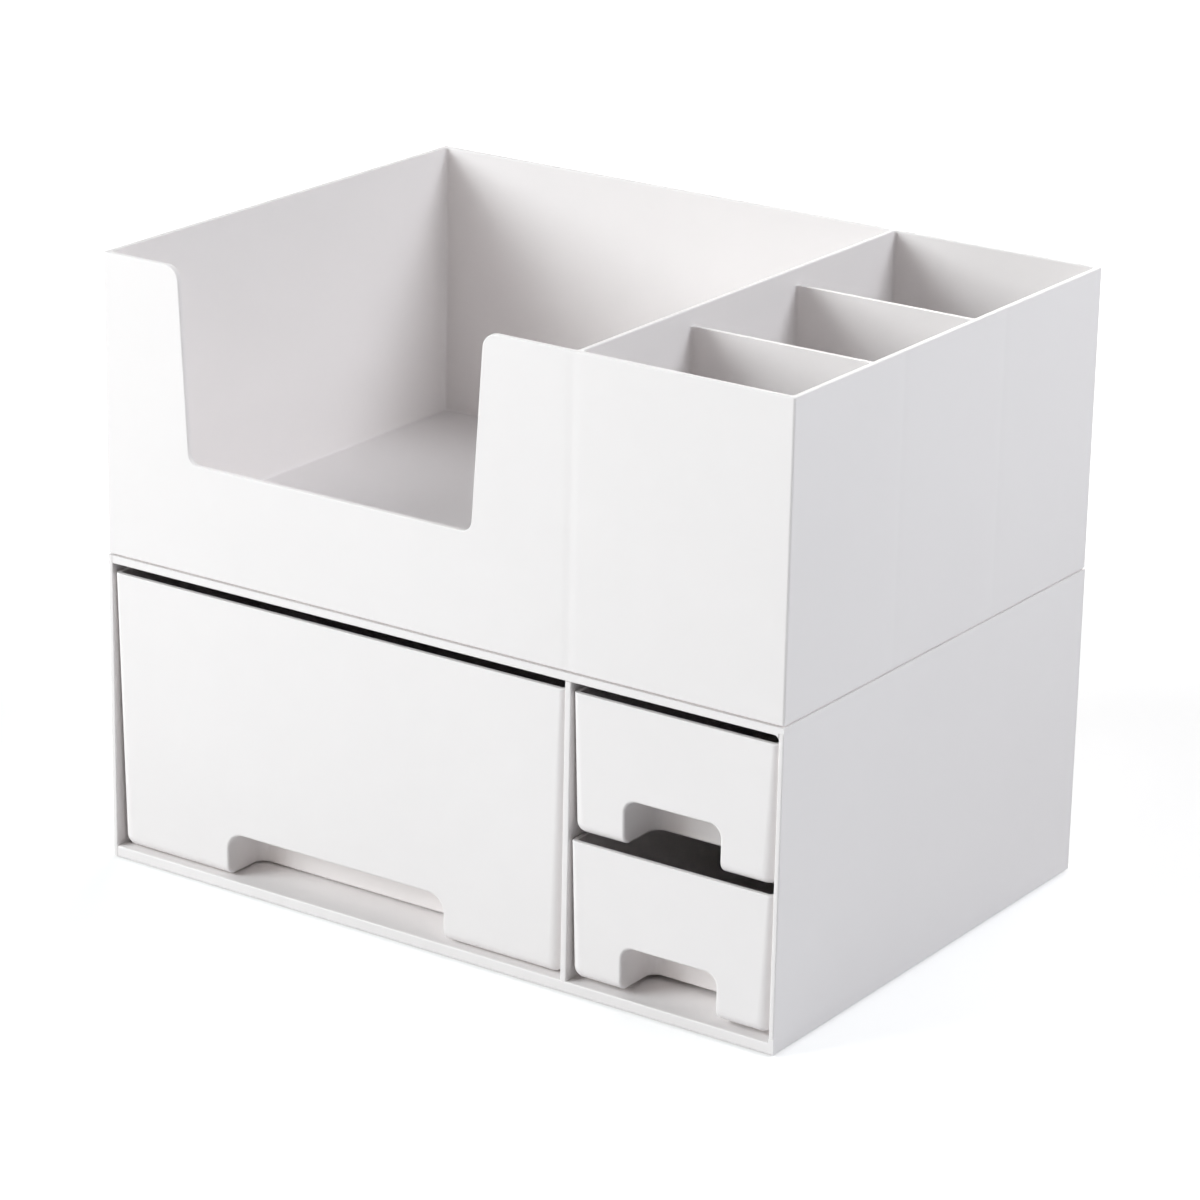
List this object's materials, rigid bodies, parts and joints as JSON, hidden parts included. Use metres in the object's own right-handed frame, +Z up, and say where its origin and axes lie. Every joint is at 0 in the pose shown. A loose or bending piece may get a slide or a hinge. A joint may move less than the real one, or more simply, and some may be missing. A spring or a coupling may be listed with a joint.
{
  "type": "makeup organizer with drawers",
  "caption": "White plastic desktop make-up organiser: a cabinet with a wide drawer beside two stacked small drawers, under a lift-off divided tray with a notched front.",
  "frame": {"origin": "centre of the footprint, on the surface that the foot pads stand on", "axes": "+Z up, +X to the right as seen from the front, the drawers open towards -Y"},
  "size_m": [0.28, 0.197, 0.2239],
  "materials": {
    "cabinet_plastic": "satin white moulded plastic",
    "drawer_plastic": "satin white moulded plastic",
    "tray_plastic": "satin white moulded plastic with faint sink marks",
    "foot_rubber": "soft matt grey-white"
  },
  "bodies": {
    "cabinet": {"base_panel": "cabinet_plastic", "top_panel": "cabinet_plastic", "left_side_panel": "cabinet_plastic", "right_side_panel": "cabinet_plastic", "centre_partition": "cabinet_plastic", "back_panel": "cabinet_plastic", "foot_pads": "foot_rubber"},
    "tray": {"top_tray": "tray_plastic"},
    "wide_drawer_unit": {"wide_drawer": "drawer_plastic"},
    "upper_small_drawer_unit": {"upper_small_drawer": "drawer_plastic"},
    "lower_small_drawer_unit": {"lower_small_drawer": "drawer_plastic"}
  },
  "joints": [
    {"name": "wide_drawer_slide", "type": "slide", "parent": "cabinet", "child": "wide_drawer_unit", "axis": [0, -1, 0], "range_m": [0, 0.141]},
    {"name": "upper_small_drawer_slide", "type": "slide", "parent": "cabinet", "child": "upper_small_drawer_unit", "axis": [0, -1, 0], "range_m": [0, 0.141]},
    {"name": "lower_small_drawer_slide", "type": "slide", "parent": "cabinet", "child": "lower_small_drawer_unit", "axis": [0, -1, 0], "range_m": [0, 0.141]},
    {"name": "tray_lift", "type": "slide", "parent": "cabinet", "child": "tray", "axis": [0, 0, 1], "range_m": [0, 0.06]}
  ]
}
